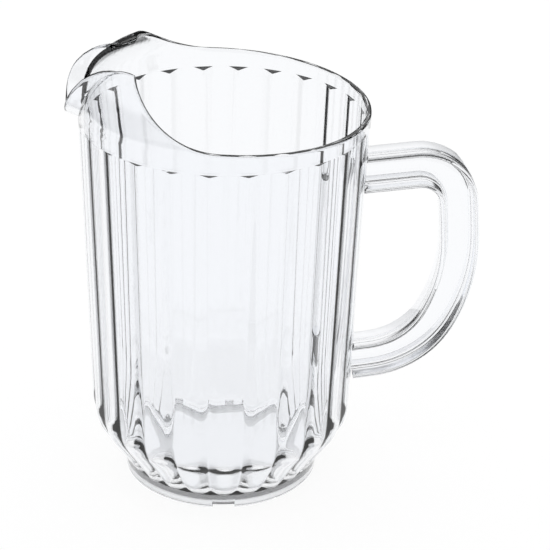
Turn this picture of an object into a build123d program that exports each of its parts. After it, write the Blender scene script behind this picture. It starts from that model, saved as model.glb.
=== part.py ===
from build123d import *

import os
from math import cos, radians, sin, sqrt, tan

# A clear moulded pitcher of about 60 US fl oz. Millimetres. +Z is up, the
# handle points to +X and the spout to -X. Each piece is drawn about the body's
# own axis. The last step moves them all along X, so that the origin is the
# middle of the space that the pitcher takes up on the table.

# Wall
wall_radius = 64.5             # outside, at the level where the grooves end
wall_draft = 1.7               # degrees that the wall leans out
wall_thickness = 2.5

# Rim, seen from the side
rim_height = 181.0             # at the handle
rim_slope = 2.7                # degrees that the rim climbs towards the spout
rim_sweep_run = 33.6           # length in X of its steep last stretch

# Hood: the two cheeks that draw the wall in beside the spout
hood_start_rise = 2.0          # above the rim, where the wall starts to curve
hood_radius = 20.0
hood_reach = 25.9              # from the wall's front to the cheeks' back edge
hood_corner_radius = 17.0      # in plan, from the back edge into the channel

# Pouring lip: a U-shaped channel
channel_half_width = 15.0
lip_thickness = 2.8
lip_reach = 5.5                # beyond the wall
lip_tip_rise = 1.0             # above the rim, floor of the channel at its tip
lip_tilt = 22.0                # degrees that the channel's floor climbs
lip_brow_radius = 21.0         # side view of the channel's upper edges

# Grooves down the outside, which leave a slightly round panel between each two
groove_count = 24
groove_width = 11.4
groove_depth = 1.4
groove_top_drop = 6.0          # below the rim, where the grooves end
groove_top_angle = 52.0        # degrees of the facet that ends each groove

# Base
shoulder_height = 29.0         # where the wall's line and the shoulder's meet
shoulder_blend_radius = 22.0
shoulder_thickness = 3.6
knuckle_blend_radius = 19.0    # inside, from the wall into the shoulder
base_joint_rise = 11.0         # above the shoulder, where the wall's piece ends
floor_thickness = 4.0
floor_blend_radius = 8.0

# Foot ring
foot_radius = 45.2             # where it stands
foot_height = 7.0
foot_flare = 0.4               # wider by this at its top
foot_width = 4.2
foot_recess = 3.0              # depth of the hollow under the floor
notch_width = 10.0
notch_depth = 2.0

# Handle: an I-section along a D. The D's middle line is two straight arms and
# four tangent arcs. Its points lie beyond the wall by their reach.
handle_depth = 17.3            # across the section, in the plane of the D
handle_width = 15.5
flange_thickness = 2.2
web_thickness = 3.0
upper_arm_drop = 28.8          # below the rim, outer end of the upper arm
upper_arm_reach = 22.2
knuckle_drop = 15.3            # below the upper arm, lower end of the knuckle
knuckle_reach = 41.2
palm_drop = 33.7               # below the upper arm, middle of the grip
palm_reach = 42.8
heel_rise = 21.5               # above the lower arm, top of the lower bend
heel_reach = 34.5
lower_arm_height = 55.9        # above the table, outer end of the lower arm
lower_arm_reach = 4.5
lower_arm_slope = 8.0          # degrees that the arm climbs outwards

# Levels and places that follow from the sizes above
slant = tan(radians(wall_draft))
groove_top_height = rim_height - groove_top_drop
hood_start_height = rim_height + hood_start_rise
lip_tip_height = rim_height + lip_tip_rise
base_joint_height = shoulder_height + base_joint_rise
floor_height = foot_recess + floor_thickness
lip_tip_x = -wall_radius - lip_reach
hood_back_x = hood_reach - wall_radius
beyond = 2.0 * wall_radius     # past the outside of the body, for cutters


def outer_radius(height):
    """Outside radius of the wall's cone at a level."""
    return wall_radius + (height - groove_top_height) * slant


def inner_radius(height):
    """Inside radius of the wall's cone at a level."""
    return outer_radius(height) - wall_thickness / cos(radians(wall_draft))


hood_centre = (
    outer_radius(hood_start_height) - hood_radius * cos(radians(wall_draft)),
    hood_start_height + hood_radius * sin(radians(wall_draft)),
)
hood_top = hood_centre[1] + hood_radius
clear_top = hood_top + hood_radius


def body_outline(thickness, low_points):
    """Half section of the body: the hood's round, the wall, then low_points."""
    hood = CenterArc(hood_centre, hood_radius - thickness, -wall_draft, 90 + wall_draft)
    Polyline((0, low_points[-1][1]), (0, (hood @ 1).Y), hood @ 1)
    Polyline(hood @ 0, *low_points)


# The shoulder's outside runs from the wall's line to the foot ring's top, and
# its inside lies the shoulder's thickness above that
shoulder_out = (outer_radius(shoulder_height), shoulder_height)
foot_top_out = (foot_radius + foot_flare, foot_height)
shoulder_run = Vector(shoulder_out[0] - foot_top_out[0], shoulder_out[1] - foot_top_out[1])
shoulder_slope = shoulder_run.Y / shoulder_run.X
shoulder_lift = shoulder_thickness * shoulder_run.length / shoulder_run.X


def shoulder_inside(radius):
    """Height of the shoulder's inside surface at a radius."""
    return foot_height + shoulder_lift + (radius - foot_top_out[0]) * shoulder_slope


def knuckle_inside():
    """Point where the wall's inside cone meets the shoulder's inside."""
    offset_at_zero = inner_radius(0)
    rise_at_zero = shoulder_inside(offset_at_zero)
    height = rise_at_zero / (1 - slant * shoulder_slope)
    return inner_radius(height), height


floor_corner = (
    foot_top_out[0] - (foot_height + shoulder_lift - floor_height) / shoulder_slope,
    floor_height,
)

# Space that the body's outside bounds, down to the foot ring, before the grooves
with BuildPart() as plain_envelope:
    with BuildSketch(Plane.XZ) as envelope_section:
        with BuildLine():
            body_outline(0, [shoulder_out, foot_top_out, (0, foot_height)])
        make_face()
        shoulder_vertex = envelope_section.vertices().sort_by_distance(Vector(*shoulder_out))[0]
        fillet(shoulder_vertex, radius=shoulder_blend_radius)
    revolve(axis=Axis.Z)

# One groove's space: a triangle run down the wall and then down the shoulder. Its
# flanks meet the wall at the groove's edges, and run on a little beyond them.
groove_half = groove_width / 2
edge_drop = wall_radius - sqrt(wall_radius**2 - groove_half**2)
flank_slope = (groove_depth - edge_drop) / groove_half
flank_half = 1.04 * groove_half
flank_end = flank_slope * flank_half - groove_depth
wall_top = Vector(outer_radius(rim_height), 0, rim_height)
shoulder_corner = Vector(shoulder_out[0], 0, shoulder_out[1])
shoulder_foot = Vector(foot_top_out[0], 0, foot_top_out[1])
past_foot = (shoulder_foot - shoulder_corner).normalized() * 2 * groove_depth
with BuildPart() as groove:
    for start, end in ((wall_top, shoulder_corner), (shoulder_corner, shoulder_foot + past_foot)):
        with BuildSketch(Plane(start, x_dir=(0, 1, 0), z_dir=end - start)):
            Polygon(
                (0, -groove_depth),
                (flank_half, flank_end),
                (flank_half, groove_depth),
                (-flank_half, groove_depth),
                (-flank_half, flank_end),
                align=None,
            )
        extrude(amount=(end - start).length)
    with BuildSketch(Plane.XZ):
        facet_fall = wall_radius * tan(radians(groove_top_angle))
        Polygon(
            (0, groove_top_height - facet_fall),
            (2 * wall_radius, groove_top_height + facet_fall),
            (0, groove_top_height + facet_fall),
            align=None,
        )
    revolve(axis=Axis.Z, mode=Mode.SUBTRACT)
    with BuildSketch():
        Circle(foot_top_out[0])
    extrude(amount=shoulder_height, mode=Mode.SUBTRACT)

# The same space, with the grooves cut into it
with BuildPart() as envelope:
    add(plain_envelope.part)
    with PolarLocations(0, groove_count, start_angle=180 / groove_count):
        add(groove.part, mode=Mode.SUBTRACT)

# Space inside the pitcher, up to the hood's underside
with BuildPart() as cavity:
    with BuildSketch(Plane.XZ) as cavity_section:
        with BuildLine():
            body_outline(wall_thickness, [knuckle_inside(), floor_corner, (0, floor_height)])
        make_face()
        floor_vertex = cavity_section.vertices().sort_by_distance(Vector(*floor_corner))[0]
        fillet(floor_vertex, radius=floor_blend_radius)
        knuckle_vertex = cavity_section.vertices().sort_by_distance(Vector(*knuckle_inside()))[0]
        fillet(knuckle_vertex, radius=knuckle_blend_radius)
    revolve(axis=Axis.Z)

# What the side view cuts away above the rim
rim_start = Vector(beyond, rim_height - (beyond - outer_radius(rim_height)) * tan(radians(rim_slope)))
sweep_start_x = hood_back_x + rim_sweep_run
sweep_start = Vector(
    sweep_start_x,
    rim_height + (outer_radius(rim_height) - sweep_start_x) * tan(radians(rim_slope)),
)
with BuildPart() as above_rim:
    with BuildSketch(Plane.XZ):
        with BuildLine():
            Line(rim_start, sweep_start)
            sweep_up = TangentArc(sweep_start, (hood_back_x, hood_top), tangent=sweep_start - rim_start)
            Polyline(sweep_up @ 1, (hood_back_x, clear_top), (beyond, clear_top), rim_start)
        make_face()
    extrude(amount=beyond, both=True)

# Keyhole in plan between the cheeks, with their rounded corners
keyhole_back_x = hood_back_x + wall_thickness
keyhole_front_x = keyhole_back_x - hood_corner_radius - wall_thickness
keyhole_half_width = channel_half_width + hood_corner_radius + wall_thickness
with BuildPart() as keyhole:
    with BuildSketch(Plane.XY.offset(hood_start_height)) as keyhole_plan:
        with BuildLine():
            Polyline(
                (keyhole_front_x, -channel_half_width),
                (keyhole_back_x, -channel_half_width),
                (keyhole_back_x, -keyhole_half_width),
                (0, -keyhole_half_width),
                (0, keyhole_half_width),
                (keyhole_back_x, keyhole_half_width),
                (keyhole_back_x, channel_half_width),
                (keyhole_front_x, channel_half_width),
                close=True,
            )
        make_face()
        cheek_corners = [
            vertex
            for vertex in keyhole_plan.vertices()
            if abs(vertex.X - keyhole_back_x) < 0.01
            and abs(abs(vertex.Y) - channel_half_width) < 0.01
        ]
        fillet(cheek_corners, radius=hood_corner_radius)
    extrude(amount=clear_top - hood_start_height)

# The lip's channel: a U that stands upright at the tip and runs down inwards
channel_run = Vector(cos(radians(lip_tilt)), 0, -sin(radians(lip_tilt)))
channel_start = Vector(lip_tip_x, 0, lip_tip_height + channel_half_width) - channel_run * lip_reach
channel_plane = Plane(origin=channel_start, x_dir=(0, 1, 0), z_dir=(1, 0, 0))
channel_length = (hood_reach + 2 * lip_reach) / cos(radians(lip_tilt))


def channel_section(half_width):
    """Half round with upright sides, open at the top."""
    bottom = CenterArc((0, 0), half_width, 180, 180)
    Polyline(bottom @ 1, (half_width, wall_radius), (-half_width, wall_radius), bottom @ 0)


with BuildPart() as channel_space:
    with BuildSketch(channel_plane):
        with BuildLine():
            channel_section(channel_half_width)
        make_face()
    extrude(amount=channel_length, dir=channel_run)

# ---- Lip ----
with BuildPart() as pour_lip:
    with BuildSketch(channel_plane):
        with BuildLine():
            channel_section(channel_half_width + lip_thickness)
        make_face()
    extrude(amount=channel_length, dir=channel_run)
    with BuildSketch(Plane.XZ):
        with BuildLine():
            brow = CenterArc((lip_tip_x + lip_brow_radius, lip_tip_height), lip_brow_radius, 90, 90)
            Polyline(brow @ 1, (lip_tip_x, base_joint_height), (0, base_joint_height), (0, (brow @ 0).Y), brow @ 0)
        make_face()
    extrude(amount=beyond, both=True, mode=Mode.INTERSECT)
    add(channel_space.part, mode=Mode.SUBTRACT)
    add(plain_envelope.part, mode=Mode.SUBTRACT)
pour_lip.part.label = "pour_lip"

# ---- Hood ----
with BuildPart() as spout_hood:
    with BuildSketch(Plane.XY.offset(hood_start_height)):
        with Locations((sweep_start_x - beyond / 2, 0)):
            Rectangle(beyond, 2 * beyond)
    extrude(amount=clear_top - hood_start_height)
    add(plain_envelope.part, mode=Mode.INTERSECT)
    add(cavity.part, mode=Mode.SUBTRACT)
    add(above_rim.part, mode=Mode.SUBTRACT)
    add(keyhole.part, mode=Mode.SUBTRACT)
    add(channel_space.part, mode=Mode.SUBTRACT)
spout_hood.part.label = "spout_hood"

# ---- Wall: the plain band under the rim, and the grooved wall below it ----
with BuildPart() as rim_band:
    add(plain_envelope.part)
    split(bisect_by=Plane.XY.offset(groove_top_height), keep=Keep.TOP)
    add(cavity.part, mode=Mode.SUBTRACT)
    add(above_rim.part, mode=Mode.SUBTRACT)
    add(channel_space.part, mode=Mode.SUBTRACT)
    with BuildSketch(Plane.XY.offset(hood_start_height)):
        with Locations((sweep_start_x - beyond / 2, 0)):
            Rectangle(beyond, 2 * beyond)
    extrude(amount=clear_top - hood_start_height, mode=Mode.SUBTRACT)
rim_band.part.label = "rim_band"

with BuildPart() as grooved_wall:
    add(envelope.part)
    split(bisect_by=Plane.XY.offset(base_joint_height), keep=Keep.TOP)
    split(bisect_by=Plane.XY.offset(groove_top_height), keep=Keep.BOTTOM)
    add(cavity.part, mode=Mode.SUBTRACT)
grooved_wall.part.label = "grooved_wall"

# ---- Base ----
foot_inside = foot_radius - foot_width
with BuildPart() as base_floor:
    add(envelope.part)
    split(bisect_by=Plane.XY.offset(base_joint_height), keep=Keep.BOTTOM)
    with BuildSketch(Plane.XY.offset(foot_recess)):
        Circle(foot_inside)
    extrude(amount=foot_height - foot_recess)
    add(cavity.part, mode=Mode.SUBTRACT)
base_floor.part.label = "base_floor"

# ---- Foot ring ----
with BuildPart() as foot_ring:
    with BuildSketch(Plane.XZ):
        with BuildLine():
            Polyline(
                (foot_inside, 0),
                (foot_radius, 0),
                foot_top_out,
                (foot_inside, foot_height),
                close=True,
            )
        make_face()
    revolve(axis=Axis.Z)
    with BuildSketch():
        Rectangle(notch_width, beyond)
    extrude(amount=notch_depth, mode=Mode.SUBTRACT)
foot_ring.part.label = "foot_ring"

# ---- Handle ----
upper_arm_height = rim_height - upper_arm_drop
lower_arm_end = (wall_radius + lower_arm_reach, lower_arm_height)
heel_end = (wall_radius + heel_reach, lower_arm_height + heel_rise)
palm_middle = (wall_radius + palm_reach, upper_arm_height - palm_drop)
knuckle_end = (wall_radius + knuckle_reach, upper_arm_height - knuckle_drop)
upper_arm_end = (wall_radius + upper_arm_reach, upper_arm_height)
lower_arm_run = Vector(1, tan(radians(lower_arm_slope)))


def handle_line():
    """Middle line of the handle, with both arms run on into the wall."""
    lower_arm = Line(Vector(*lower_arm_end) - lower_arm_run * handle_depth, lower_arm_end)
    heel = TangentArc(lower_arm @ 1, heel_end, tangent=lower_arm_run)
    palm = TangentArc(heel @ 1, palm_middle, tangent=heel % 1)
    grip = TangentArc(palm @ 1, knuckle_end, tangent=palm % 1)
    knuckle = TangentArc(grip @ 1, upper_arm_end, tangent=grip % 1)
    upper_arm_run = knuckle % 1
    upper_arm_length = (upper_arm_reach + handle_depth) / -upper_arm_run.X
    Line(knuckle @ 1, (knuckle @ 1) + upper_arm_run * upper_arm_length)


with BuildPart() as handle:
    with BuildSketch(Plane.XZ):
        with BuildLine():
            handle_line()
        trace(line_width=handle_depth)
    extrude(amount=handle_width / 2, both=True)
    for side in (-1, 1):
        with BuildSketch(Plane.XZ.offset(side * web_thickness / 2)):
            with BuildLine():
                handle_line()
            trace(line_width=handle_depth - 2 * flange_thickness)
        extrude(amount=side * handle_width, mode=Mode.SUBTRACT)
    add(envelope.part, mode=Mode.SUBTRACT)
handle.part.label = "handle"

# ---- Origin ----
space_low = pour_lip.part.bounding_box().min.X
space_high = handle.part.bounding_box().max.X
for piece in (rim_band, grooved_wall, spout_hood, pour_lip, base_floor, foot_ring, handle):
    piece.part.move(Location((-(space_low + space_high) / 2, 0, 0)))

os.makedirs("parts", exist_ok=True)
export_step(rim_band.part, "parts/rim_band.step")
export_step(grooved_wall.part, "parts/grooved_wall.step")
export_step(spout_hood.part, "parts/spout_hood.step")
export_step(pour_lip.part, "parts/pour_lip.step")
export_step(base_floor.part, "parts/base_floor.step")
export_step(foot_ring.part, "parts/foot_ring.step")
export_step(handle.part, "parts/handle.step")
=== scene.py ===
import math

import bmesh
import bpy
import numpy as np
from mathutils import Matrix, Vector


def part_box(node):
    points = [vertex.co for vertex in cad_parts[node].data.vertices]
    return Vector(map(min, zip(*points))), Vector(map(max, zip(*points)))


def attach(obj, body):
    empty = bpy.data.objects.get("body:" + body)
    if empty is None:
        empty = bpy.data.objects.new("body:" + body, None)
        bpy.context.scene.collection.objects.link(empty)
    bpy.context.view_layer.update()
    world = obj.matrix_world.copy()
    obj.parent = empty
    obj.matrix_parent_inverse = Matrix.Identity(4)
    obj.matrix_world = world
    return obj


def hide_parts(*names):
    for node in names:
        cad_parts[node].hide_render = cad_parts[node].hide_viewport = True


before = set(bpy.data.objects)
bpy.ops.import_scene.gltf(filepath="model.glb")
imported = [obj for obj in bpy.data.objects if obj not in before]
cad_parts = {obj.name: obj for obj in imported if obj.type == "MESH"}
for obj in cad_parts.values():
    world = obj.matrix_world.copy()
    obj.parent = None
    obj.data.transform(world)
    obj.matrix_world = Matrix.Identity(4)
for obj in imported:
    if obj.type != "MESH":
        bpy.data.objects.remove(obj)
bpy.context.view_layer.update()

# A clear moulded pitcher with grooves down its outside, as one mesh. Sizes are in
# millimetres. X and Y are measured from the body's own axis, and an angle round
# the body is measured from the spout, which points to -X.
MM = 0.001
foot_low, foot_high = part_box("foot_ring")
band_low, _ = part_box("rim_band")
AXIS_X = (foot_low.x + foot_high.x) / 2 / MM
GROOVE_TOP = band_low.z / MM   # level where the grooves end
FOOT_HEIGHT = foot_high.z / MM
FOOT_TOP_RADIUS = (foot_high.y - foot_low.y) / 2 / MM

# Wall
WALL_RADIUS = 64.5             # outside, at the level where the grooves end
DRAFT = math.radians(1.7)
WALL = 2.5
EDGE_RADIUS = 1.1              # at the mouth's edges

# Rim, seen from the side, and hood
GROOVE_TOP_DROP = 6.0          # below the rim
RIM_SLOPE = math.tan(math.radians(2.7))
RIM_SWEEP_RUN = 33.6
HOOD_START_RISE = 2.0          # above the rim
HOOD_RADIUS = 20.0
HOOD_REACH = 25.9              # from the wall's front to the cheeks' back edge
CORNER_RADIUS = 17.0           # in plan, from the back edge into the channel

# Lip: a U-shaped channel
CHANNEL = 15.0                 # half width, and radius of its round
LIP_WALL = 2.8
LIP_REACH = 5.5                # beyond the wall
LIP_TIP_RISE = 1.0             # above the rim
LIP_TILT = math.tan(math.radians(22.0))
BROW_RADIUS = 21.0             # of the lip's front, seen from the side
LIP_ROUND_SHARE = 0.4          # largest share of the lip's height that rounds its outer edge

# Grooves outside, with a slightly round panel between each two
GROOVE_COUNT = 24
GROOVE_DEPTH = 1.4
GROOVE_END_SLOPE = math.tan(math.radians(59.0))
GROOVE_LEDGE = 0.45            # share of a panel's half that meets the rim band in a level ledge
PANEL_ROUND = 0.6              # share of a panel's half that is round; the rest is straight
VALLEY_FLAT = 0.03             # share of a panel's half that is flat in the valley

# Base
SHOULDER_HEIGHT = 29.0         # where the wall's line and the shoulder's meet
SHOULDER_BLEND = 22.0
SHOULDER_WALL = 3.6
KNUCKLE_BLEND = 21.0           # inside, from the wall into the shoulder
FLOOR_HEIGHT = 7.0
FLOOR_BLEND = 8.0
FOOT_RADIUS = 45.2             # where it stands
FOOT_WIDTH = 4.2
FOOT_EDGE = 0.7
FOOT_ROOT_BLEND = 0.6          # from the foot into the shoulder
FOOT_RECESS = 3.0
RECESS_BLEND = 0.8
NOTCH_WIDTH = 10.0
NOTCH_DEPTH = 2.0

# Handle: an I-section along a line of two arms and four tangent arcs. The line's
# points lie beyond the wall by their reach.
HANDLE_DEPTH = 17.3
HANDLE_WIDTH = 15.5
FLANGE = 2.2
FLANGE_TAPER = 0.4             # thicker by this at the web
WEB = 3.0
HANDLE_ROUND = 1.5             # outer corners
FLANGE_ROUND = 0.7             # inner corners of the flanges
WEB_ROUND = 1.6                # from a flange into the web
UPPER_ARM_DROP = 28.8          # below the rim
UPPER_ARM_REACH = 22.2
UPPER_ARM_LENGTH = 27.0
KNUCKLE_DROP = 15.3            # below the upper arm
KNUCKLE_REACH = 41.2
PALM_DROP = 33.7               # below the upper arm
PALM_REACH = 42.8
HEEL_RISE = 21.5               # above the lower arm
HEEL_REACH = 34.5
LOWER_ARM_HEIGHT = 55.9
LOWER_ARM_REACH = 4.5
LOWER_ARM_RUN = 9.0            # length in X
LOWER_ARM_SLOPE = math.tan(math.radians(8.0))

# Where the columns of points stand on the wall: the last one under the channel's
# round, under the lip, under the keyhole and under the cheeks
ROUND_END = math.radians(13.5)
LIP_END = math.radians(21.0)
KEY_END = math.radians(34.0)
HOOD_END = math.radians(64.0)

# Steps of the mesh. Those that are shares say where their points lie.
GROOVE_STEPS = (1.0, 0.8, 0.65, 0.55, 0.4, 0.28, 0.16, 0.05, 0.0)  # panel's middle to valley
UNDERSIDE_SHARES = (0.3, 0.6, 0.8)
FLOOR_SHARES = (0.6, 0.3)
SLOPE_SHARES = (0.33, 0.67)
WALL_SHARES = np.linspace(0, 1, 25)
BLEND_STEPS = 12
FLOOR_STEPS = 8
FOOT_STEPS = 3
FOOT_ROOT_STEPS = 2
EDGE_STEPS = 4
RIM_STEPS = 5                  # over the rim, between its two rounded edges
LIP_FACE_STEPS = 6
LIP_EDGE_STEPS = 2
OUTER_MOUTH_STEPS = 14         # from the grooves' ends to the mouth, outside
INNER_MOUTH_STEPS = 12
BROW_POINTS = 40
KEY_POINTS = 60
LOWER_ARM_SHARES = (0, 0.33, 0.67)
UPPER_ARM_SHARES = np.linspace(0, 1, 6)
HEEL_STEPS = 12
PALM_STEPS = 12
KNUCKLE_STEPS = 6
UPPER_ARC_STEPS = 14

# Searches, and how far apart two values may be and still count as one
HALVINGS = 50
LOWEST_CLIMB = -10.0
BEFORE_LIP = 9.0               # ahead of the lip's tip
BEHIND_LIP_X = -45.0
BEHIND_BROW_X = -40.0
FACES_UP = 0.2                 # upward share of a direction that has to point down
SAME = 1e-6
TINY = 1e-9

# What follows from the sizes
slant = math.tan(DRAFT)
RIM_HEIGHT = GROOVE_TOP + GROOVE_TOP_DROP
HOOD_START = RIM_HEIGHT + HOOD_START_RISE
HOOD_BACK_X = HOOD_REACH - WALL_RADIUS
LIP_TIP_X = -WALL_RADIUS - LIP_REACH
LIP_TIP_Z = RIM_HEIGHT + LIP_TIP_RISE
BROW_TOP = LIP_TIP_Z + BROW_RADIUS


def outer_radius(z):
    return WALL_RADIUS + (z - GROOVE_TOP) * slant


# Centre of the hood's round
hood_r = outer_radius(HOOD_START) - HOOD_RADIUS * math.cos(DRAFT)
hood_z = HOOD_START + HOOD_RADIUS * math.sin(DRAFT)
HOOD_TOP = hood_z + HOOD_RADIUS


# ---- The body's surface ----
# A place on it is (angle, climb): climb is the height above the level where the
# hood starts, and above that the length along the hood's round.

def body_point(angle, climb, depth):
    """Point at a depth under the body's outside, and the outward normal there."""
    angle, climb, depth = np.broadcast_arrays(angle, climb, depth)
    turn = np.maximum(climb, 0) / HOOD_RADIUS - DRAFT
    z_low = HOOD_START + np.minimum(climb, 0)
    nr, nz = np.cos(turn), np.sin(turn)
    low = climb <= 0
    r = np.where(low, outer_radius(z_low), hood_r + HOOD_RADIUS * nr) - depth * nr
    z = np.where(low, z_low, hood_z + HOOD_RADIUS * nz) - depth * nz
    point = np.stack([-r * np.cos(angle), r * np.sin(angle), z], -1)
    normal = np.stack([-nr * np.cos(angle), nr * np.sin(angle), nz], -1)
    return point, normal


def body_place(point):
    """(angle, climb) of a point on or under the body's outside."""
    x, y, z = point[..., 0], point[..., 1], point[..., 2]
    r = np.hypot(x, y)
    turn = np.arctan2(z - hood_z, r - hood_r)
    depth = (outer_radius(z) - r) * math.cos(DRAFT)
    low = turn < -DRAFT
    climb = np.where(low, z - depth * math.sin(DRAFT) - HOOD_START, (turn + DRAFT) * HOOD_RADIUS)
    return np.arctan2(y, -x), climb


def body_distance(point):
    """Distance outside the body's outside, less than zero within."""
    x, y, z = point[..., 0], point[..., 1], point[..., 2]
    r = np.hypot(x, y)
    turn = np.arctan2(z - hood_z, r - hood_r)
    cone = (r - outer_radius(z)) * math.cos(DRAFT)
    return np.where(turn < -DRAFT, cone, np.hypot(r - hood_r, z - hood_z) - HOOD_RADIUS)


def solve(function, low, high):
    """Where a rising function crosses zero between low and high."""
    low, high = np.array(low, float), np.array(high, float)
    for _ in range(HALVINGS):
        middle = (low + high) / 2
        over = function(middle) > 0
        high = np.where(over, middle, high)
        low = np.where(over, low, middle)
    return (low + high) / 2


def unit(vectors):
    return vectors / np.linalg.norm(vectors, axis=-1, keepdims=True)


# ---- The mouth, seen from the side and in plan ----
sweep_start = np.array([HOOD_BACK_X + RIM_SWEEP_RUN, 0.0])
sweep_start[1] = RIM_HEIGHT + (outer_radius(RIM_HEIGHT) - sweep_start[0]) * RIM_SLOPE
sweep_chord = np.array([HOOD_BACK_X, HOOD_TOP]) - sweep_start
sweep_up = np.array([RIM_SLOPE, 1.0]) / math.hypot(RIM_SLOPE, 1.0)
sweep_radius = sweep_chord @ sweep_chord / (2 * sweep_chord @ sweep_up)
sweep_centre = sweep_start + sweep_radius * sweep_up


def rim_z(x):
    """Height of the rim in the side view."""
    straight = RIM_HEIGHT + (outer_radius(RIM_HEIGHT) - x) * RIM_SLOPE
    reach = np.clip(x - sweep_centre[0], -sweep_radius, sweep_radius)
    swept = sweep_centre[1] - np.sqrt(sweep_radius**2 - reach**2)
    return np.where(x > sweep_start[0], straight, swept)


def rim_climb(angle):
    """Climb of the rim at an angle, behind the keyhole."""
    def over(climb):
        point, _ = body_point(angle, climb, 0)
        return point[..., 2] - rim_z(point[..., 0])
    return solve(over, np.full_like(angle, LOWEST_CLIMB), np.full_like(angle, HOOD_RADIUS * math.pi / 2))


KEY_CENTRE = (HOOD_BACK_X + WALL - CORNER_RADIUS, CHANNEL + CORNER_RADIUS)


def key_y(x):
    """Half width of the keyhole between the cheeks, in plan."""
    reach = np.clip(x - KEY_CENTRE[0], 0, CORNER_RADIUS)
    return KEY_CENTRE[1] - np.sqrt(CORNER_RADIUS**2 - reach**2)


def hood_edge(x):
    """Point of the hood's outside over the keyhole's edge."""
    y = key_y(x)
    turn = np.arccos(np.clip((np.hypot(x, y) - hood_r) / HOOD_RADIUS, -1, 1))
    point, _ = body_point(np.arctan2(y, -x), (turn + DRAFT) * HOOD_RADIUS, 0.0)
    return point


def hood_at(x, y, depth):
    """Point of the hood, at a depth, over a place in plan."""
    r = np.hypot(x, y)
    nr = np.clip((r - hood_r) / (HOOD_RADIUS - depth), 0, math.cos(DRAFT))
    return np.stack([x, y, hood_z + (HOOD_RADIUS - depth) * np.sqrt(1 - nr**2)], -1)


# ---- The lip ----
def channel_z(x):
    """Height of the middle of the channel's round."""
    return LIP_TIP_Z + CHANNEL - (x - LIP_TIP_X) * LIP_TILT


def brow_x(z):
    """The lip's front in the side view."""
    rise = np.clip(z - LIP_TIP_Z, 0, BROW_RADIUS)
    return LIP_TIP_X + BROW_RADIUS - np.sqrt(BROW_RADIUS**2 - rise**2)


def channel_ends(turn, radius, depth):
    """Both ends of a straight line along the channel's round: at the brow and at the body."""
    side, drop = radius * np.sin(turn), -radius * np.cos(turn)

    def point_at(x):
        return np.stack([x, side, channel_z(x) + drop], -1)

    def behind_brow(x):
        return x - brow_x(channel_z(x) + drop)

    def inside_body(x):
        return -(body_distance(point_at(x)) + depth)

    behind = np.full_like(turn, BEHIND_LIP_X)
    x_front = solve(behind_brow, np.full_like(turn, LIP_TIP_X - BEFORE_LIP), behind)
    x_body = solve(inside_body, np.full_like(turn, LIP_TIP_X), behind)
    return point_at(x_front), point_at(x_body)


# ---- Columns ----
# The mesh is made of rows, each with a point in every column. A column's angle is
# where it stands on the wall.

def groove_form(steps):
    """Share of the groove's depth at shares of half the pitch from its valley."""
    out = 1 - np.maximum(np.array(steps), VALLEY_FLAT)
    round_part = out**2
    straight_part = 2 * PANEL_ROUND * out - PANEL_ROUND**2
    return np.where(out < PANEL_ROUND, round_part, straight_part) / (2 * PANEL_ROUND - PANEL_ROUND**2)


def column_angles():
    """Angles of the columns from the spout to the handle, and each one's share of the
    grooves' depth."""
    half = math.pi / GROOVE_COUNT
    steps = np.array(GROOVE_STEPS)
    depth = groove_form(steps)
    angles, share = [0.0], [0.0]
    for groove in range(GROOVE_COUNT // 2):
        valley = (2 * groove + 1) * half
        angles += list(valley - half * steps[1:]) + list(valley + half * steps[-2::-1])
        share += list(depth[1:]) + list(depth[-2::-1])
    return np.array(angles), np.array(share)


column_angle, groove_share = column_angles()
lip_columns = column_angle <= LIP_END
LAST_ROUND = int(np.sum(column_angle <= ROUND_END)) - 1
LAST_LIP = int(np.sum(lip_columns)) - 1
GROOVE_SHARES = sorted(set(np.round(groove_form(GROOVE_STEPS), 9)))
LEDGE_SHARE = float(groove_form(1 - GROOVE_LEDGE))
END_SHARES = [share for share in GROOVE_SHARES if share >= LEDGE_SHARE - SAME]


# ---- The mouth's edges ----
def along(points, shares):
    """Points at shares of the length of a polyline."""
    points = np.asarray(points)
    steps = np.r_[0, np.cumsum(np.linalg.norm(np.diff(points, axis=0), axis=1))]
    reach = np.asarray(shares) * steps[-1]
    return np.stack([np.interp(reach, steps, points[:, k]) for k in range(points.shape[1])], -1)


def brow_line(low_z, meet_x):
    """The lip's front in the side view, from a height to where it meets the hood."""
    rise = np.linspace(low_z, BROW_TOP, BROW_POINTS)
    return np.vstack([np.stack([brow_x(rise), rise], -1), [[meet_x, BROW_TOP]]])


def lip_edges():
    """The lip's four edges: crease with the body, outer, inner, and inside the body."""
    angle = column_angle[lip_columns]
    turn = np.clip(angle / ROUND_END, 0, 1) * math.pi / 2
    inner_front, inner_body = channel_ends(turn, CHANNEL, WALL)
    outer_front, outer_body = channel_ends(turn, CHANNEL + LIP_WALL, 0.0)

    # The upright sides, from the round's end to where the brow meets the hood
    def under_hood(x):
        return -body_distance(np.stack([x, key_y(x), np.full_like(x, BROW_TOP)], -1))

    up = np.clip((angle - ROUND_END) / (column_angle[LAST_LIP] - ROUND_END), 0, 1)
    x_meet = solve(under_hood, LIP_TIP_X, BEHIND_BROW_X)
    top = along(brow_line(inner_front[LAST_ROUND][2], x_meet), up)
    x_top, z_top = top[:, 0], top[:, 1]
    x_in = (1 - up) * inner_body[LAST_ROUND][0] + up * x_meet
    x_out = (1 - up) * outer_body[LAST_ROUND][0] + up * x_meet

    side = (up > 0)[:, None]
    inner_front = np.where(side, np.stack([x_top, key_y(x_top), z_top], -1), inner_front)
    outer_front = np.where(side, np.stack([x_top, key_y(x_top) + LIP_WALL, z_top], -1), outer_front)
    inner_body = np.where(side, hood_at(x_in, key_y(x_in), WALL), inner_body)
    outer_body = np.where(side, hood_at(x_out, key_y(x_out) + LIP_WALL, 0.0), outer_body)
    outer_front[-1] = outer_body[-1]
    return outer_body, outer_front, inner_front, inner_body


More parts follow.
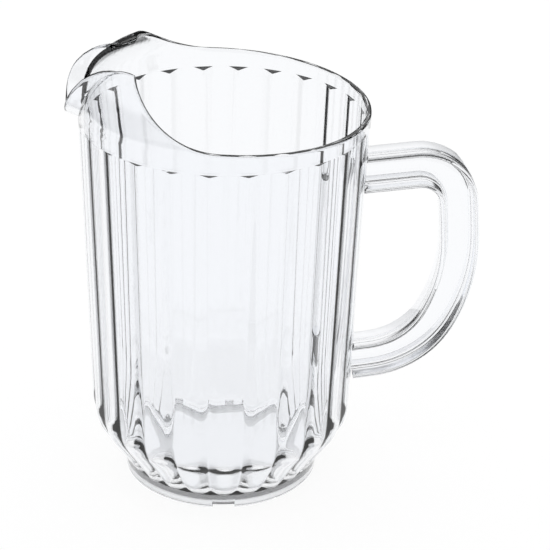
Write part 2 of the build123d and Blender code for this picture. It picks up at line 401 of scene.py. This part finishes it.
def mouth_edge():
    """Outer edge of the rim behind the lip, with the body's normals there."""
    angle = column_angle[~lip_columns]
    key_points = hood_edge(np.linspace(lip_inner[-1][0], HOOD_BACK_X, KEY_POINTS))
    key_points = key_points[key_points[:, 2] < rim_z(key_points[:, 0])]
    key_end_angle, _ = body_place(key_points[-1])
    rim_angle = np.linspace(key_end_angle, HOOD_END, KEY_POINTS)[1:]
    rim_points, _ = body_point(rim_angle, rim_climb(rim_angle), 0)
    first = column_angle[LAST_LIP]
    on_key = along(key_points, np.clip((angle - first) / (KEY_END - first), 0, 1))
    rim_line = np.vstack([key_points[-1:], rim_points])
    on_rim = along(rim_line, np.clip((angle - KEY_END) / (HOOD_END - KEY_END), 0, 1))
    on_wall, _ = body_point(angle, rim_climb(angle), 0)
    edge = np.where((angle < HOOD_END)[:, None], on_rim, on_wall)
    edge = np.where((angle < KEY_END)[:, None], on_key, edge)
    return body_point(*body_place(edge), 0)


lip_crease, lip_outer, lip_inner, lip_inside = lip_edges()
rim_outer, rim_normal = mouth_edge()
rim_inner = rim_outer - WALL * rim_normal


def mirrored_tangent(points):
    """Direction along a line of columns that starts and ends on the plane Y = 0."""
    flip = np.array([1, -1, 1])
    closed = np.vstack([points[1] * flip, points, points[-2] * flip])
    return unit(closed[2:] - closed[:-2])


def away_from_mouth(edge):
    """Directions in the body's surface that lead down from an edge."""
    _, normal = body_point(*body_place(edge), 0)
    away = unit(np.cross(normal, mirrored_tangent(edge)))
    return away * np.where(away[:, 2:] > FACES_UP, -1, 1)


upper_edge = np.vstack([lip_inner, rim_outer])
lower_edge = np.vstack([lip_inside, rim_inner])
away_out = away_from_mouth(upper_edge)
away_in = away_from_mouth(lower_edge)


# ---- Rows of the shell ----
def rounding(corner, first, second, radius):
    """Rows that round an edge, from one face into the next."""
    radius = np.broadcast_to(radius, corner.shape[:1])[:, None]
    shares = np.linspace(0, 1, EDGE_STEPS + 1)
    return [corner + radius * ((1 - t) ** 2 * first + t**2 * second) for t in shares]


def between(first, last, steps):
    """Rows between two rows, without either."""
    return [first + (last - first) * t for t in np.linspace(0, 1, steps + 1)[1:-1]]


def ring_row(radius, z):
    """Row at a radius and a height, each one number or one for each column."""
    radius, z, angle = np.broadcast_arrays(radius, z, column_angle)
    return np.stack([-radius * np.cos(angle), radius * np.sin(angle), z], -1)


def line_points(start, end, shares):
    """Points of a profile on a straight line."""
    start, end = np.array(start, float), np.array(end, float)
    return [tuple(start + (end - start) * t) for t in shares]


def corner_arc(before, corner, after, radius, steps):
    """Points that round a corner of a profile."""
    before, corner, after = (np.array(p, float) for p in (before, corner, after))
    one, two = unit(before - corner), unit(after - corner)
    half = math.acos(np.clip(one @ two, -1, 1)) / 2
    reach = radius / math.tan(half)
    centre = corner + unit(one + two) * radius / math.sin(half)
    start, end = corner + one * reach - centre, corner + two * reach - centre
    a0, a1 = math.atan2(start[1], start[0]), math.atan2(end[1], end[0])
    a1 = a0 + (a1 - a0 + math.pi) % (2 * math.pi) - math.pi
    angles = np.linspace(a0, a1, steps + 1)
    return [tuple(centre + radius * np.array([math.cos(a), math.sin(a)])) for a in angles]


foot_top = (FOOT_TOP_RADIUS, FOOT_HEIGHT)
foot_inside = FOOT_RADIUS - FOOT_WIDTH
shoulder_run = outer_radius(SHOULDER_HEIGHT) - FOOT_TOP_RADIUS
shoulder_slope = (SHOULDER_HEIGHT - FOOT_HEIGHT) / shoulder_run


def knuckle_corner(wall_foot, shoulder_foot):
    """Where a wall with a radius at the table's level meets a shoulder with a height over
    the foot's edge."""
    rise = shoulder_foot + (wall_foot - FOOT_TOP_RADIUS) * shoulder_slope
    z = rise / (1 - slant * shoulder_slope)
    return wall_foot + z * slant, z


def outer_profile(depth):
    """Points (radius, height) of the outside from the foot's top edge to under the grooves'
    ends, for a depth of the groove."""
    raised = FOOT_HEIGHT + depth * math.hypot(1, shoulder_slope)
    start = outer_radius(0) - depth
    knuckle = knuckle_corner(start, raised)
    ring = (FOOT_TOP_RADIUS, raised)
    top_z = end_level(1)
    top = (start + top_z * slant, top_z)
    points = corner_arc((FOOT_RADIUS, 0), ring, knuckle, FOOT_ROOT_BLEND, FOOT_ROOT_STEPS)
    arc = corner_arc(ring, knuckle, top, SHOULDER_BLEND - depth, BLEND_STEPS)
    points += line_points(points[-1], arc[0], SLOPE_SHARES)
    points += arc
    points += line_points(arc[-1], top, WALL_SHARES[1:])
    return np.array(points)


def end_level(share):
    """Height at which a groove's end reaches a share of its depth."""
    return GROOVE_TOP - GROOVE_DEPTH * (share - LEDGE_SHARE) * GROOVE_END_SLOPE


def end_row(z):
    """Row of the outside at the grooves' ends."""
    limit = GROOVE_DEPTH * LEDGE_SHARE + (GROOVE_TOP - z) / GROOVE_END_SLOPE
    depth = np.clip(np.minimum(GROOVE_DEPTH * groove_share, limit), 0, None)
    return ring_row(outer_radius(z) - depth, z)


def cut_notch(row):
    """Lifts the part of a low row that a drain notch cuts away, with upright ends."""
    inside = np.flatnonzero(np.abs(row[:, 0]) < NOTCH_WIDTH / 2)
    first, last = inside[0], inside[-1]
    radius = math.hypot(row[0, 0], row[0, 1])
    for column, side in ((first - 1, -1), (first, -1), (last, 1), (last + 1, 1)):
        x = side * NOTCH_WIDTH / 2
        row[column, :2] = x, math.sqrt(radius**2 - x**2)
    row[first:last + 1, 2] = NOTCH_DEPTH


def foot_rows():
    """Rows from the middle of the underside to the foot's top edge."""
    recess = (foot_inside, FOOT_RECESS)
    inner_foot, outer_foot = (foot_inside, 0), (FOOT_RADIUS, 0)
    profile = [(foot_inside * share, FOOT_RECESS) for share in UNDERSIDE_SHARES]
    profile += corner_arc((0, FOOT_RECESS), recess, inner_foot, RECESS_BLEND, FOOT_STEPS)
    profile += corner_arc(recess, inner_foot, outer_foot, FOOT_EDGE, FOOT_STEPS)
    profile += corner_arc(inner_foot, outer_foot, foot_top, FOOT_EDGE, FOOT_STEPS)
    rows = [ring_row(r, z) for r, z in profile]
    for row in rows:
        if row[0, 2] < NOTCH_DEPTH:
            cut_notch(row)
    return rows


def grooved_rows():
    """Rows from the foot's top edge to the grooves' upper ends."""
    profiles = [outer_profile(GROOVE_DEPTH * share) for share in GROOVE_SHARES]
    nearest = [int(np.argmin(np.abs(np.array(GROOVE_SHARES) - share))) for share in groove_share]
    places = np.array([profiles[k] for k in nearest])
    rows = [ring_row(places[:, k, 0], places[:, k, 1]) for k in range(places.shape[1])]
    rows += [end_row(end_level(share)) for share in END_SHARES[-2::-1]]
    rows.append(ring_row(outer_radius(GROOVE_TOP), GROOVE_TOP))
    return rows


def mouth_rows(top, depth, steps):
    """Rows from the level of the grooves' ends up to a row at the mouth, without either."""
    angle, climb = body_place(top)
    first_climb = GROOVE_TOP - HOOD_START
    rows = []
    for t in np.linspace(0, 1, steps + 1)[1:-1]:
        row_angle = column_angle + (angle - column_angle) * t
        point, _ = body_point(row_angle, first_climb + (climb - first_climb) * t, depth)
        rows.append(point)
    return rows


def inner_rows():
    """Rows from the level of the grooves' ends, down the inside, to the middle of the floor."""
    start = outer_radius(0) - WALL / math.cos(DRAFT)
    lift = FOOT_HEIGHT + SHOULDER_WALL * math.hypot(1, shoulder_slope)
    knuckle = knuckle_corner(start, lift)
    floor_corner = (FOOT_TOP_RADIUS - (lift - FLOOR_HEIGHT) / shoulder_slope, FLOOR_HEIGHT)
    blend = corner_arc(knuckle, floor_corner, (0, FLOOR_HEIGHT), FLOOR_BLEND, FLOOR_STEPS)
    top = (start + GROOVE_TOP * slant, GROOVE_TOP)
    arc = corner_arc(top, knuckle, blend[0], KNUCKLE_BLEND, BLEND_STEPS)
    profile = line_points(top, arc[0], WALL_SHARES)
    profile += arc[1:]
    profile += line_points(arc[-1], blend[0], SLOPE_SHARES)
    profile += blend
    profile += [(blend[-1][0] * share, FLOOR_HEIGHT) for share in FLOOR_SHARES]
    return [ring_row(r, z) for r, z in profile]


class Mesh:
    """Points and faces of one half, column by column, mirrored on Y = 0."""

    def __init__(self):
        self.points = []
        self.faces = []
        self.count = 0

    def add_face(self, face, side):
        self.faces.append(face if side == 0 else face[::-1])

    def add_row(self, row):
        """Adds a row of the half and its mirror image. Returns the ring of indices."""
        ids = np.arange(self.count, self.count + len(row))
        self.points += [row, row * [1, -1, 1]]
        self.count += 2 * len(row)
        return ids, ids + len(row)

    def add_rows(self, rows, start=None, diagonals=None):
        """Adds rows, and the faces between each two and from the ring start. Returns their rings."""
        rings = [self.add_row(row) for row in rows]
        chain = rings if start is None else [start] + rings
        for index, (low, high) in enumerate(zip(chain[:-1], chain[1:])):
            self.strip(low, high, diagonals(index) if diagonals else None)
        return rings

    def strip(self, low, high, diagonals):
        """Faces between two rings. A face whose diagonal is 1 or -1 is cut in two."""
        for side in (0, 1):
            for k in range(len(low[side]) - 1):
                a, b, c, d = low[side][k], low[side][k + 1], high[side][k + 1], high[side][k]
                cut = 0 if diagonals is None else diagonals[k]
                if cut > 0:
                    parts = ([a, b, c], [a, c, d])
                elif cut < 0:
                    parts = ([a, b, d], [b, c, d])
                else:
                    parts = ([a, b, c, d],)
                for part in parts:
                    self.add_face(part, side)

    def fan(self, ring, centre):
        """Closes a ring round a point on the axis."""
        index = self.count
        self.points.append(np.array([centre]))
        self.count += 1
        for side in (0, 1):
            for k in range(len(ring[side]) - 1):
                self.add_face([ring[side][k], ring[side][k + 1], index], side)


def end_diagonals(step):
    """Which way each face at the grooves' ends is cut in two, where the end's edge crosses it."""
    diagonals = np.zeros(len(column_angle) - 1, int)
    low, high = END_SHARES[step:step + 2]
    one, two = groove_share[:-1], groove_share[1:]
    diagonals[(np.abs(one - low) < SAME) & (np.abs(two - high) < SAME)] = -1
    diagonals[(np.abs(one - high) < SAME) & (np.abs(two - low) < SAME)] = 1
    return diagonals


def build_shell():
    mesh = Mesh()
    lip = LAST_LIP + 1
    toward_body = unit(lip_crease - lip_outer + TINY)
    across = unit(lip_outer - lip_inner)
    inward = unit(lower_edge - upper_edge)
    upper = rounding(upper_edge, np.vstack([across, away_out[lip:]]), inward, EDGE_RADIUS)
    lower = rounding(lower_edge, -inward, away_in, EDGE_RADIUS)

    # Outside, up to the crease with the lip or to the rim's rounding
    top = np.vstack([lip_crease, upper[0][lip:]])
    rows = foot_rows() + grooved_rows()
    ends = len(rows) - len(END_SHARES) - 1

    def outside_diagonals(index):
        step = len(END_SHARES) - 2 - (index - ends)
        return end_diagonals(step) if 0 <= step < len(END_SHARES) - 1 else None

    rows += mouth_rows(top, 0.0, OUTER_MOUTH_STEPS) + [top]
    rings = mesh.add_rows(rows, diagonals=outside_diagonals)
    mesh.fan((rings[0][0][::-1], rings[0][1][::-1]), (0, 0, FOOT_RECESS))
    outer_top = rings[-1]

    # Lip: from the crease, out to its outer edge and over to its inner edge
    height = np.linalg.norm(lip_outer - lip_crease, axis=1)
    outer_radii = np.minimum(EDGE_RADIUS, LIP_ROUND_SHARE * height)
    outer_round = rounding(lip_outer, toward_body, -across, outer_radii)
    rows = [lip_crease] + between(lip_crease, outer_round[0], LIP_FACE_STEPS) + outer_round
    rows += between(outer_round[-1], upper[0][:lip], LIP_EDGE_STEPS) + [upper[0][:lip]]
    mesh.add_rows(rows)

    # Rim and channel, all round, and the corner where the lip's last column meets the rim
    rings = mesh.add_rows(upper + between(upper[-1], lower[0], RIM_STEPS) + lower)
    for side in (0, 1):
        mesh.add_face([outer_top[side][LAST_LIP], rings[0][side][lip], rings[0][side][LAST_LIP]], side)

    # Inside, down to the floor
    rows = mouth_rows(lower[-1], WALL, INNER_MOUTH_STEPS)[::-1] + inner_rows()
    rings = mesh.add_rows(rows, start=rings[-1])
    mesh.fan(rings[-1], (0, 0, FLOOR_HEIGHT))
    return mesh


# ---- Handle ----
def tangent_arc(start, direction, end, steps):
    """Points of the arc from start, leaving along direction, to end, and the direction there."""
    start, end = np.array(start, float), np.array(end, float)
    direction = unit(np.array(direction, float))
    chord = end - start
    left = np.array([-direction[1], direction[0]])
    offset = chord @ chord / (2 * (chord @ left))
    centre = start + left * offset
    a0 = math.atan2(*(start - centre)[::-1])
    turn = 2 * math.atan2(chord @ left, chord @ direction)
    angles = a0 + np.linspace(0, turn, steps + 1)
    points = centre + abs(offset) * np.stack([np.cos(angles), np.sin(angles)], -1)
    cos, sin = math.cos(turn), math.sin(turn)
    out = np.array([cos * direction[0] - sin * direction[1], sin * direction[0] + cos * direction[1]])
    return points, out


def handle_line():
    """Middle line of the handle in the XZ plane, root to root, from the bottom."""
    upper_height = RIM_HEIGHT - UPPER_ARM_DROP
    place = np.array([WALL_RADIUS + LOWER_ARM_REACH, LOWER_ARM_HEIGHT])
    heel = (WALL_RADIUS + HEEL_REACH, LOWER_ARM_HEIGHT + HEEL_RISE)
    palm = (WALL_RADIUS + PALM_REACH, upper_height - PALM_DROP)
    knuckle = (WALL_RADIUS + KNUCKLE_REACH, upper_height - KNUCKLE_DROP)
    upper_arm = (WALL_RADIUS + UPPER_ARM_REACH, upper_height)
    run = np.array([1.0, LOWER_ARM_SLOPE])
    points = line_points(place - run * LOWER_ARM_RUN, place, LOWER_ARM_SHARES)
    arcs = ((heel, HEEL_STEPS), (palm, PALM_STEPS), (knuckle, KNUCKLE_STEPS), (upper_arm, UPPER_ARC_STEPS))
    for target, steps in arcs:
        arc, run = tangent_arc(place, run, target, steps)
        points += list(arc[:-1])
        place = target
    points += line_points(place, place + run * UPPER_ARM_LENGTH, UPPER_ARM_SHARES)
    return np.array(points)


def handle_section():
    """Outline of the I-section: (outwards, across), one turn."""
    half_depth, half_width = HANDLE_DEPTH / 2, HANDLE_WIDTH / 2
    flange_in = half_depth - FLANGE
    quarter = [
        (half_depth, half_width, HANDLE_ROUND),
        (flange_in, half_width, FLANGE_ROUND),
        (flange_in - FLANGE_TAPER, WEB / 2, WEB_ROUND),
    ]
    outline = []
    for out, across, order in ((1, 1, 1), (-1, 1, -1), (-1, -1, 1), (1, -1, -1)):
        outline += [((x * out, y * across), radius) for x, y, radius in quarter[::order]]
    points = []
    for k, (corner, radius) in enumerate(outline):
        before, after = outline[k - 1][0], outline[(k + 1) % len(outline)][0]
        points += corner_arc(before, corner, after, radius, EDGE_STEPS)
    return np.array(points)


def build_handle():
    line = handle_line()
    run = unit(np.gradient(line, axis=0))
    outward = np.stack([run[:, 1], -run[:, 0]], -1)
    section = handle_section()
    points, faces = [], []
    for place, side in zip(line, outward):
        for out, across in section:
            x, z = place + side * out
            points.append((x, across, z))
    n = len(section)
    for i in range(len(line) - 1):
        for k in range(n):
            m = (k + 1) % n
            faces.append([i * n + k, i * n + m, (i + 1) * n + m, (i + 1) * n + k])
    faces.append(list(range(n))[::-1])
    faces.append([(len(line) - 1) * n + k for k in range(n)])
    return np.array(points), faces


# ---- Objects ----
WELD = 1e-6                    # metres
WELD_JOINED = 1e-7
SHARP_ANGLE = math.radians(28)


def make_object(name, points, faces):
    """An object from points in millimetres about the body's axis."""
    mesh = bpy.data.meshes.new(name)
    mesh.from_pydata([tuple((Vector(p) + Vector((AXIS_X, 0, 0))) * MM) for p in points], [], faces)
    piece = bpy.data.objects.new(name, mesh)
    bpy.context.scene.collection.objects.link(piece)
    return piece


def weld(piece, distance):
    """Joins points that lie together, and turns all faces outwards."""
    bm = bmesh.new()
    bm.from_mesh(piece.data)
    bmesh.ops.remove_doubles(bm, verts=bm.verts, dist=distance)
    bmesh.ops.dissolve_degenerate(bm, edges=bm.edges, dist=distance)
    bmesh.ops.recalc_face_normals(bm, faces=bm.faces)
    bm.to_mesh(piece.data)
    bm.free()


def join_solid(piece, other):
    """Adds another closed piece to a closed piece."""
    modifier = piece.modifiers.new("join", "BOOLEAN")
    modifier.operation = "UNION"
    modifier.solver = "EXACT"
    modifier.object = other
    graph = bpy.context.evaluated_depsgraph_get()
    result = bpy.data.meshes.new_from_object(piece.evaluated_get(graph))
    piece.modifiers.clear()
    piece.data = result
    bpy.data.objects.remove(other)


def make_moulding():
    """The shell and the handle, as one smooth mesh."""
    shell = build_shell()
    moulding = make_object("pitcher_moulding", np.vstack(shell.points), shell.faces)
    weld(moulding, WELD)
    handle = make_object("grip", *build_handle())
    weld(handle, WELD)
    join_solid(moulding, handle)
    weld(moulding, WELD_JOINED)
    for polygon in moulding.data.polygons:
        polygon.use_smooth = True
    moulding.data.set_sharp_from_angle(angle=SHARP_ANGLE)
    return moulding


# ---- Materials ----
TINT = (0.95, 0.96, 0.978)
IOR = 1.55
MATT_ROUGHNESS = 0.6
MATT_START = 0.8               # share of the foot's inside radius
MATT_ABOVE = 0.1               # over the underside


def add_node(tree, kind, **values):
    """A node, with its settings and the values of its inputs."""
    node = tree.nodes.new(kind)
    for name, value in values.items():
        if name in node.inputs:
            node.inputs[name].default_value = value
        else:
            setattr(node, name, value)
    return node


def maths(tree, operation, *values):
    """Output of a maths node. Each value is a number or the output of another node."""
    node = add_node(tree, "ShaderNodeMath", operation=operation)
    for socket, value in zip(node.inputs, values):
        if isinstance(value, bpy.types.NodeSocket):
            tree.links.new(value, socket)
        else:
            socket.default_value = value
    return node.outputs[0]


def ramp(tree, value, start, end, first, last):
    """A smooth change from first, where the value is start, to last, where it is end."""
    node = add_node(tree, "ShaderNodeMapRange", interpolation_type="SMOOTHSTEP")
    for name, number in (("From Min", start), ("From Max", end), ("To Min", first), ("To Max", last)):
        node.inputs[name].default_value = number
    tree.links.new(value, node.inputs["Value"])
    return node.outputs[0]


def plastic(name, roughness):
    material = bpy.data.materials.new(name)
    material.use_nodes = True
    shader = material.node_tree.nodes["Principled BSDF"]
    shader.inputs["Base Color"].default_value = (*TINT, 1)
    shader.inputs["Transmission Weight"].default_value = 1.0
    shader.inputs["Roughness"].default_value = roughness
    shader.inputs["IOR"].default_value = IOR
    return material


def is_matt(polygon):
    """Whether a face is on the outer part of the underside or inside the foot."""
    place = polygon.center - Vector((AXIS_X * MM, 0, 0))
    radius = math.hypot(place.x, place.y) / MM
    low = place.z < (FOOT_RECESS + MATT_ABOVE) * MM
    return low and MATT_START * foot_inside < radius < FOOT_RADIUS - FOOT_EDGE


body = make_moulding()
body.data.materials.clear()
body.data.materials.append(plastic("clear_plastic", 0.0))
body.data.materials.append(plastic("clear_plastic_underside", MATT_ROUGHNESS))
for polygon in body.data.polygons:
    polygon.material_index = 1 if is_matt(polygon) else 0
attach(body, "root")
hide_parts("rim_band", "grooved_wall", "spout_hood", "pour_lip", "base_floor", "foot_ring", "handle")


# ---- Stage ----
# Distances on the floor are in metres. Glass shows the floor white near the
# pitcher and painted dark far out, a painted shade for the unlit room round it,
# which is what draws the dark lines in it.
FLOOR_HALF = 3.0
FLOOR_GREY = 0.9               # as the floor lights the pitcher
FLOOR_SHARE = 0.12             # share of the shown white that takes shadows; the rest glows
FLOOR_WHITE = 1.02
FLOOR_LIT = 0.8                # how bright the world lights a white floor
FLOOR_GLOW = FLOOR_WHITE - FLOOR_SHARE * FLOOR_LIT
SHEET_RADIUS = 0.7
SHEET_END = 0.85
# Painted shade: how dark mirrors and glass see the floor beyond the sheet, for the unlit room round it
FAR_PAINTED_SHADE = 0.02


def floor_material():
    material = bpy.data.materials.new("floor")
    material.use_nodes = True
    tree = material.node_tree
    tree.nodes.clear()
    output = add_node(tree, "ShaderNodeOutputMaterial")
    path = add_node(tree, "ShaderNodeLightPath")
    place = add_node(tree, "ShaderNodeTexCoord")
    far_out = add_node(tree, "ShaderNodeVectorMath", operation="LENGTH")
    tree.links.new(place.outputs["Object"], far_out.inputs[0])
    # Painted shade: past the sheet, the floor turns dark for mirrors and glass only, and the camera still
    # sees it white
    sheet_then_painted_shade = ramp(tree, far_out.outputs["Value"], SHEET_RADIUS, SHEET_END, 1.0, FAR_PAINTED_SHADE)
    white = maths(tree, "MAXIMUM", sheet_then_painted_shade, path.outputs["Is Camera Ray"])

    # What the camera, mirrors and glass see: a glow, and a little that takes shadows,
    # both painted dark far out for mirrors and glass only
    glow = add_node(tree, "ShaderNodeEmission", Color=(1, 1, 1, 1))
    tree.links.new(maths(tree, "MULTIPLY", white, FLOOR_GLOW), glow.inputs["Strength"])
    shaded = add_node(tree, "ShaderNodeBsdfDiffuse")
    tree.links.new(maths(tree, "MULTIPLY", white, FLOOR_SHARE), shaded.inputs["Color"])
    both = add_node(tree, "ShaderNodeAddShader")
    tree.links.new(shaded.outputs[0], both.inputs[0])
    tree.links.new(glow.outputs[0], both.inputs[1])

    # What all other rays see
    plain = add_node(tree, "ShaderNodeBsdfDiffuse", Color=(FLOOR_GREY, FLOOR_GREY, FLOOR_GREY, 1))
    seen = maths(tree, "MAXIMUM", path.outputs["Is Camera Ray"], path.outputs["Is Glossy Ray"])
    seen = maths(tree, "MAXIMUM", seen, path.outputs["Is Transmission Ray"])
    mix = add_node(tree, "ShaderNodeMixShader")
    tree.links.new(seen, mix.inputs[0])
    tree.links.new(plain.outputs[0], mix.inputs[1])
    tree.links.new(both.outputs[0], mix.inputs[2])
    tree.links.new(mix.outputs[0], output.inputs["Surface"])
    return material


def stage_floor():
    corners = [(x * FLOOR_HALF, y * FLOOR_HALF, 0) for x, y in ((-1, -1), (1, -1), (1, 1), (-1, 1))]
    mesh = bpy.data.meshes.new("floor")
    mesh.from_pydata(corners, [], [(0, 1, 2, 3)])
    floor = bpy.data.objects.new("floor", mesh)
    bpy.context.scene.collection.objects.link(floor)
    floor.data.materials.append(floor_material())


# The world's light, by direction: Y is away from the camera and Z is up
HORIZON_LIGHT = 0.04
NEAR_START = -0.2              # the Y of a direction
NEAR_END = -0.6
NEAR_LIGHT = 0.5
TOP_START = 0.45               # the Z of a direction, plus TOP_LEAN times its Y
TOP_END = 0.7
TOP_LIGHT = 1.0
TOP_LEAN = 0.3
FLAG_TOWARDS = (0.0, -0.93, 0.37)
FLAG_START = 0.84              # cosine of the angle from FLAG_TOWARDS
FLAG_END = 0.9
FLAG_SHARE = 0.03              # of the light that the flag lets by


def world_light():
    """White above, grey on the camera's side, dark at the other horizon, and nearly black
    where the camera stands. The camera itself sees white."""
    world = bpy.data.worlds.new("studio")
    bpy.context.scene.world = world
    world.use_nodes = True
    tree = world.node_tree
    place = add_node(tree, "ShaderNodeTexCoord")
    split = add_node(tree, "ShaderNodeSeparateXYZ")
    tree.links.new(place.outputs["Generated"], split.inputs[0])
    y, z = split.outputs["Y"], split.outputs["Z"]
    near = ramp(tree, y, NEAR_START, NEAR_END, HORIZON_LIGHT, NEAR_LIGHT)
    height = maths(tree, "MULTIPLY_ADD", y, TOP_LEAN, z)
    above = ramp(tree, height, TOP_START, TOP_END, 0.0, TOP_LIGHT)
    towards = add_node(tree, "ShaderNodeVectorMath", operation="DOT_PRODUCT")
    tree.links.new(place.outputs["Generated"], towards.inputs[0])
    towards.inputs[1].default_value = FLAG_TOWARDS
    flag = ramp(tree, towards.outputs["Value"], FLAG_START, FLAG_END, 1.0, FLAG_SHARE)
    light = maths(tree, "MULTIPLY", maths(tree, "MAXIMUM", near, above), flag)
    path = add_node(tree, "ShaderNodeLightPath")
    background = tree.nodes["Background"]
    background.inputs["Color"].default_value = (1, 1, 1, 1)
    shown = maths(tree, "MAXIMUM", light, path.outputs["Is Camera Ray"])
    tree.links.new(shown, background.inputs["Strength"])


stage_floor()
world_light()

# ---- Camera ----
VIEW_ANGLE = math.radians(-3.574)
VIEW_TILT = math.radians(26.586)
VIEW_ROLL = math.radians(1.4)
VIEW_DISTANCE = 922.9
VIEW_TARGET = Vector((23.8, -1.5, 97.8))
VIEW_FIELD = math.radians(15.55)


def place_camera():
    back = Vector((
        math.sin(VIEW_ANGLE) * math.cos(VIEW_TILT),
        -math.cos(VIEW_ANGLE) * math.cos(VIEW_TILT),
        math.sin(VIEW_TILT),
    ))
    data = bpy.data.cameras.new("camera")
    data.angle = VIEW_FIELD
    camera = bpy.data.objects.new("camera", data)
    bpy.context.scene.collection.objects.link(camera)
    place = (VIEW_TARGET + Vector((AXIS_X, 0, 0)) + back * VIEW_DISTANCE) * MM
    turned = back.to_track_quat("Z", "Y").to_matrix().to_4x4()
    camera.matrix_world = Matrix.Translation(place) @ turned @ Matrix.Rotation(VIEW_ROLL, 4, "Z")
    return camera


bpy.context.scene.camera = place_camera()
bpy.context.scene.view_settings.view_transform = "Standard"
